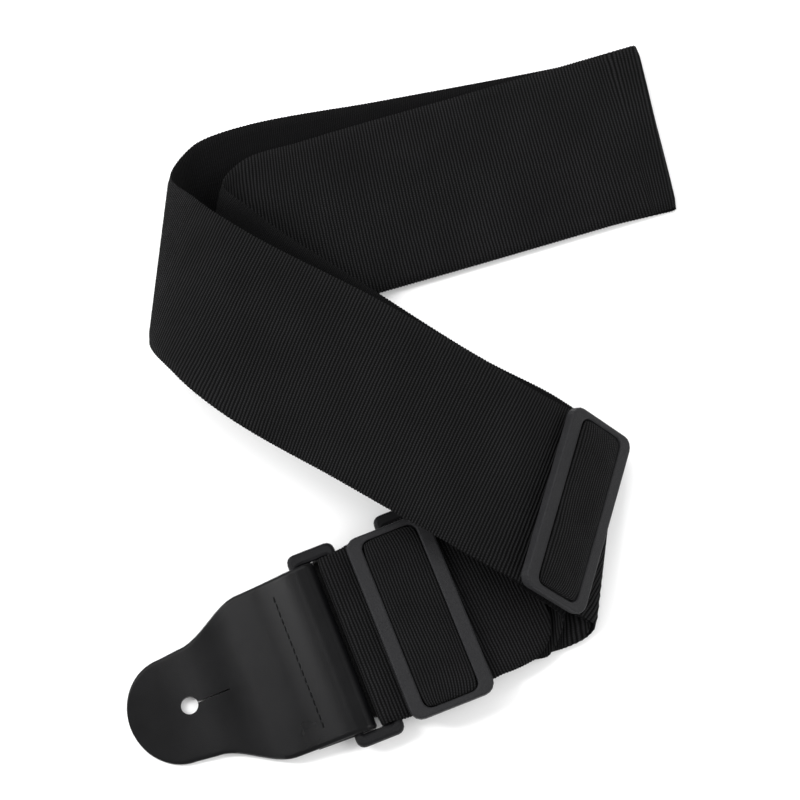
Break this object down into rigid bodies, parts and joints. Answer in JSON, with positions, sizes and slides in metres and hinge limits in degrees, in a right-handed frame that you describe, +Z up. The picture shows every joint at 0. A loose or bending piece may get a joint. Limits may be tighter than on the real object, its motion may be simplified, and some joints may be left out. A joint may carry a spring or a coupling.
{
  "type": "guitar strap",
  "caption": "Doubled webbing guitar strap laid in a Z, with tri-glide buckles, rectangular rings and tapered leather ends with button holes.",
  "frame": {"origin": "bottom centre of the bounding box of the strap as it lies", "axes": "+Z up from the surface it lies on; +X to the viewer's right and +Y away from the viewer"},
  "size_m": [0.2298, 0.31, 0.0437],
  "materials": {
    "webbing": "black woven webbing, cross ribs on the front and a smoother back",
    "moulded_plastic": "black moulded plastic with a fine satin grain",
    "leather": "smooth black leather, satin",
    "thread": "black bonded thread"
  },
  "bodies": {
    "webbing": {"webbing_back_run": "webbing", "webbing_end_fold": "webbing", "webbing_front_run": "webbing", "webbing_left_bend_inner": "webbing", "webbing_left_bend_outer": "webbing", "webbing_lower_run_back": "webbing", "webbing_lower_run_front": "webbing", "webbing_main_run": "webbing", "webbing_return_run": "webbing", "webbing_right_bend_inner": "webbing", "webbing_right_bend_outer": "webbing", "webbing_right_bend_return": "webbing", "webbing_second_run": "webbing", "webbing_tail_a": "webbing", "webbing_tail_b": "webbing", "webbing_turn_a": "webbing", "webbing_turn_b": "webbing"},
    "tri_glide_a": {"tri_glide_a": "moulded_plastic", "webbing_hump_a": "webbing"},
    "tri_glide_b": {"tri_glide_b": "moulded_plastic", "webbing_hump_b": "webbing"},
    "ring_a": {"ring_a": "moulded_plastic"},
    "leather_end_a": {"leather_end_a": "leather", "stitching_a": "thread"},
    "ring_b": {"ring_b": "moulded_plastic", "leather_end_b": "leather", "stitching_b": "thread"}
  },
  "joints": [
    {"name": "tri_glide_a_slide", "type": "slide", "parent": "webbing", "child": "tri_glide_a", "axis": [0.9298, 0.3681, 0], "range_m": [0, 0.012]},
    {"name": "tri_glide_b_slide", "type": "slide", "parent": "webbing", "child": "tri_glide_b", "axis": [-0.6831, 0.2834, 0.6731], "range_m": [0, 0.008]},
    {"name": "ring_a_hinge", "type": "hinge", "parent": "webbing", "child": "ring_a", "pos_m": [-0.01806, -0.10383, 0.0083], "axis": [-0.3681, 0.9298, 0], "range_deg": [0, 75]},
    {"name": "leather_a_hinge", "type": "hinge", "parent": "ring_a", "child": "leather_end_a", "pos_m": [-0.03377, -0.11006, 0.0083], "axis": [-0.3681, 0.9298, 0], "range_deg": [0, 8]},
    {"name": "ring_b_hinge", "type": "hinge", "parent": "webbing", "child": "ring_b", "pos_m": [0.0173, -0.08639, 0.0044], "axis": [-0.3681, 0.9298, 0], "range_deg": [-60, 0]}
  ]
}
